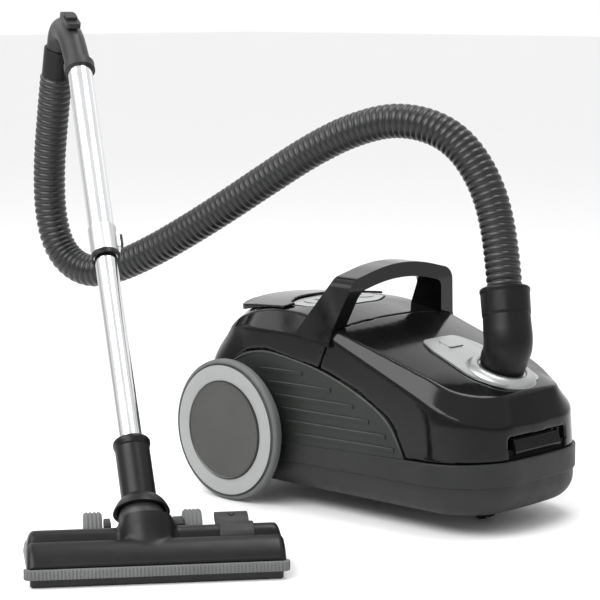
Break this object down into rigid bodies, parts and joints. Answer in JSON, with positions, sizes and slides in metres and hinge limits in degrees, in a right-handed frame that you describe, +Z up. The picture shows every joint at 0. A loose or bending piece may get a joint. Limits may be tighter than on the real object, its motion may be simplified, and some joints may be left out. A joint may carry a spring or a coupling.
{
  "type": "canister vacuum cleaner",
  "caption": "Bagged canister vacuum cleaner on wheels, with corrugated hose, bent grip, telescopic metal wand and a wide floor nozzle on rear rollers.",
  "frame": {"origin": "middle of the base of the box round the whole object without its hose, on the floor", "axes": "+X is where the body points, towards the hose connector; +Y is the body's left; +Z is up"},
  "size_m": [0.8281, 0.7924, 0.6474],
  "materials": {
    "gloss_black": "glossy",
    "matte_black": "matte",
    "panel_grey": "satin",
    "silver_plastic": "satin",
    "light_grey": "satin",
    "disc_grey": "satin",
    "soft_rubber": "matte",
    "tyre_grey": "matte",
    "hose_plastic": "satin",
    "chrome_tube": "polished",
    "steel": "satin",
    "copper": "matte",
    "bag_paper": "matte",
    "filter_fleece": "matte",
    "bristle": "matte",
    "board": "satin"
  },
  "bodies": {
    "canister": {"base_tub": "matte_black", "bumper_band": "panel_grey", "rear_housing": "gloss_black", "side_panel_left": "panel_grey", "side_panel_right": "panel_grey", "carry_handle": "gloss_black", "button_panel": "silver_plastic", "button_springs": "steel", "bulkhead": "matte_black", "motor_case": "steel", "motor_stator": "copper", "motor_mounts": "soft_rubber", "reel_spring_case": "steel", "cord_outlet": "soft_rubber", "motor_filter": "filter_fleece", "exhaust_filter": "filter_fleece", "control_board": "board", "dust_bag": "bag_paper", "bag_card": "bag_paper", "bag_holder": "matte_black", "wheel_axle": "steel", "hose": "hose_plastic", "hose_cuff": "gloss_black", "grip": "matte_black", "upper_tube": "chrome_tube", "telescope_collar": "matte_black"},
    "lid_body": {"lid": "gloss_black", "port_surround": "silver_plastic", "port_seal": "soft_rubber", "elbow": "matte_black"},
    "release": {"release_button": "gloss_black"},
    "latch": {"latch_lever": "matte_black"},
    "exhaust": {"exhaust_cover": "gloss_black"},
    "power": {"power_button": "silver_plastic"},
    "rewind": {"rewind_button": "silver_plastic"},
    "rotor": {"motor_rotor": "steel"},
    "reel": {"cord_reel": "matte_black", "wound_cord": "soft_rubber"},
    "left_wheel": {"left_tyre": "tyre_grey", "left_ring": "light_grey", "left_disc": "disc_grey"},
    "right_wheel": {"right_tyre": "tyre_grey", "right_ring": "light_grey", "right_disc": "disc_grey"},
    "caster": {"caster_fork": "matte_black"},
    "caster_roll": {"caster_wheels": "matte_black"},
    "slider": {"suction_slider": "disc_grey"},
    "lock": {"length_lock": "disc_grey"},
    "lower_wand": {"lower_tube": "chrome_tube", "neck": "gloss_black"},
    "ball": {"knuckle": "panel_grey"},
    "nozzle": {"nozzle_base": "matte_black", "nozzle_cover": "gloss_black", "front_strip": "tyre_grey", "roller_carrier": "matte_black"},
    "pedal_body": {"pedal": "matte_black"},
    "brush": {"brush_strip": "bristle"},
    "roller_l": {"left_roller": "tyre_grey"},
    "roller_r": {"right_roller": "tyre_grey"}
  },
  "joints": [
    {"name": "lid_hinge", "type": "hinge", "parent": "canister", "child": "lid_body", "pos_m": [0.13768, 0.22923, 0.2508], "axis": [0, -1, 0], "range_deg": [0, 60], "deforming": ["hose"]},
    {"name": "release_press", "type": "slide", "parent": "lid_body", "child": "release", "axis": [-0.3024, 0, -0.9532], "range_m": [0, 0.0008], "stiffness_N_per_m": 400},
    {"name": "latch_pull", "type": "hinge", "parent": "lid_body", "child": "latch", "pos_m": [0.37068, 0.22923, 0.119], "axis": [0, -1, 0], "range_deg": [0, 12], "stiffness_Nm_per_rad": 0.3},
    {"name": "exhaust_cover_hinge", "type": "hinge", "parent": "canister", "child": "exhaust", "pos_m": [0.02968, 0.22923, 0.2646], "axis": [0, 1, 0], "range_deg": [0, 70]},
    {"name": "power_press", "type": "slide", "parent": "canister", "child": "power", "axis": [0, 0, -1], "range_m": [0, 0.003], "stiffness_N_per_m": 500, "deforming": ["button_springs"]},
    {"name": "rewind_press", "type": "slide", "parent": "canister", "child": "rewind", "axis": [0, 0, -1], "range_m": [0, 0.003], "stiffness_N_per_m": 500, "deforming": ["button_springs"]},
    {"name": "motor_spin", "type": "hinge", "parent": "canister", "child": "rotor", "pos_m": [0.00468, 0.27923, 0.13], "axis": [1, 0, 0], "continuous": true},
    {"name": "reel_spin", "type": "hinge", "parent": "canister", "child": "reel", "pos_m": [-0.01032, 0.15923, 0.125], "axis": [0, 1, 0], "continuous": true},
    {"name": "left_wheel_spin", "type": "hinge", "parent": "canister", "child": "left_wheel", "pos_m": [-0.02032, 0.38123, 0.095], "axis": [0, 1, 0], "continuous": true},
    {"name": "right_wheel_spin", "type": "hinge", "parent": "canister", "child": "right_wheel", "pos_m": [-0.02032, 0.07723, 0.095], "axis": [0, 1, 0], "continuous": true},
    {"name": "caster_swivel", "type": "hinge", "parent": "canister", "child": "caster", "pos_m": [0.30568, 0.22923, 0.03], "axis": [0, 0, 1], "continuous": true},
    {"name": "caster_wheel_spin", "type": "hinge", "parent": "caster", "child": "caster_roll", "pos_m": [0.29468, 0.22923, 0.0125], "axis": [0, 1, 0], "continuous": true},
    {"name": "suction_slide", "type": "slide", "parent": "canister", "child": "slider", "axis": [-0.8404, 0.3947, 0.3714], "range_m": [-0.006, 0.012]},
    {"name": "lock_press", "type": "slide", "parent": "canister", "child": "lock", "axis": [-0.5371, -0.8435, 0], "range_m": [0, 0.001], "stiffness_N_per_m": 500},
    {"name": "wand_length", "type": "slide", "parent": "canister", "child": "lower_wand", "axis": [-0.5781, 0.3681, 0.7282], "range_m": [0, 0.2]},
    {"name": "neck_swivel", "type": "hinge", "parent": "lower_wand", "child": "ball", "pos_m": [0.15302, -0.23785, 0.057], "axis": [-0.5388, 0.4209, 0.7298], "range_deg": [-80, 80]},
    {"name": "nozzle_pitch", "type": "hinge", "parent": "ball", "child": "nozzle", "pos_m": [0.15302, -0.23785, 0.057], "axis": [0.6157, 0.788, 0], "range_deg": [-38, 38]},
    {"name": "pedal_rock", "type": "hinge", "parent": "nozzle", "child": "pedal_body", "pos_m": [0.22801, -0.15811, 0.044], "axis": [0.6157, 0.788, 0], "range_deg": [-3, 3]},
    {"name": "brush_lift", "type": "slide", "parent": "nozzle", "child": "brush", "axis": [0, 0, 1], "range_m": [-0.0012, 0.0012]},
    {"name": "left_roller_spin", "type": "hinge", "parent": "nozzle", "child": "roller_l", "pos_m": [0.07949, -0.254, 0.028], "axis": [0.6157, 0.788, 0], "continuous": true},
    {"name": "right_roller_spin", "type": "hinge", "parent": "nozzle", "child": "roller_r", "pos_m": [0.15275, -0.16023, 0.028], "axis": [0.6157, 0.788, 0], "continuous": true}
  ],
  "couplings": [
    {"joint": "brush_lift", "follows": "pedal_rock", "m_per_rad": 0.0229}
  ]
}
